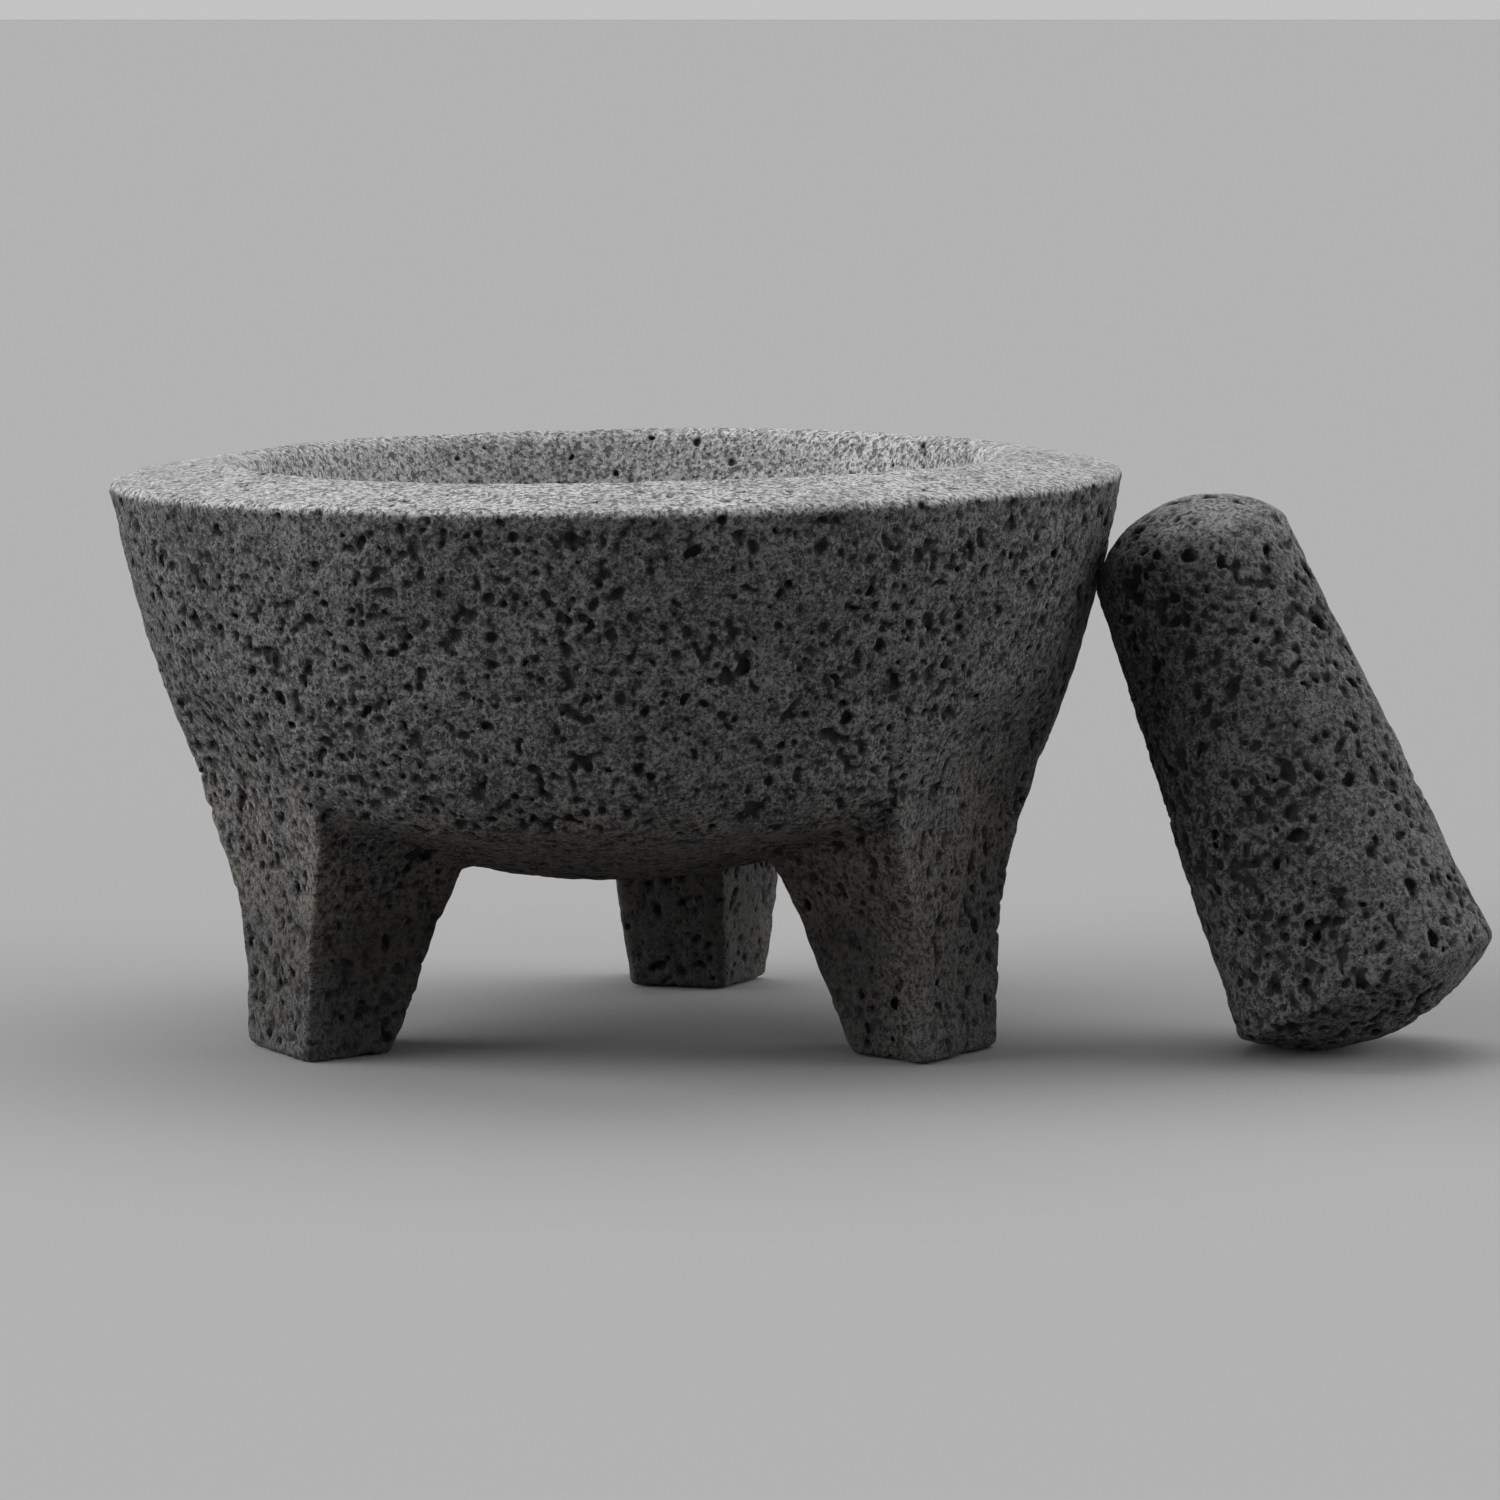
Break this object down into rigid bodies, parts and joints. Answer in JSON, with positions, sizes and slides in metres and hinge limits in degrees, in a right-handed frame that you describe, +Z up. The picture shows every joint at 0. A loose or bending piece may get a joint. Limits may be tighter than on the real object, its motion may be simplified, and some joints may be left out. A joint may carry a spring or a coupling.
{
  "type": "molcajete",
  "caption": "Three-legged stone mortar with a deep round hollow, wide rim that rises gently to its lip and flared wall, with a loose tapered stone pestle leaning on its side.",
  "frame": {"origin": "on the bowl's axis, in the plane that the three feet stand on", "axes": "+Z up along the bowl's axis, +X right towards the leaning pestle, -Y front, between two legs"},
  "size_m": [0.2928, 0.2156, 0.1235],
  "materials": {
    "basalt": "hammered, full of fine pores, dark grey; rim and hollow ground smoother and paler",
    "pestle_basalt": "hammered, with larger pores, near black"
  },
  "bodies": {
    "mortar_body": {"mortar": "basalt"},
    "pestle_body": {"pestle": "pestle_basalt"}
  },
  "joints": [
    {"name": "pestle_lift", "type": "slide", "parent": "mortar_body", "child": "pestle_body", "axis": [0.4944, -0.0748, 0.866], "range_m": [0, 0.16]}
  ]
}
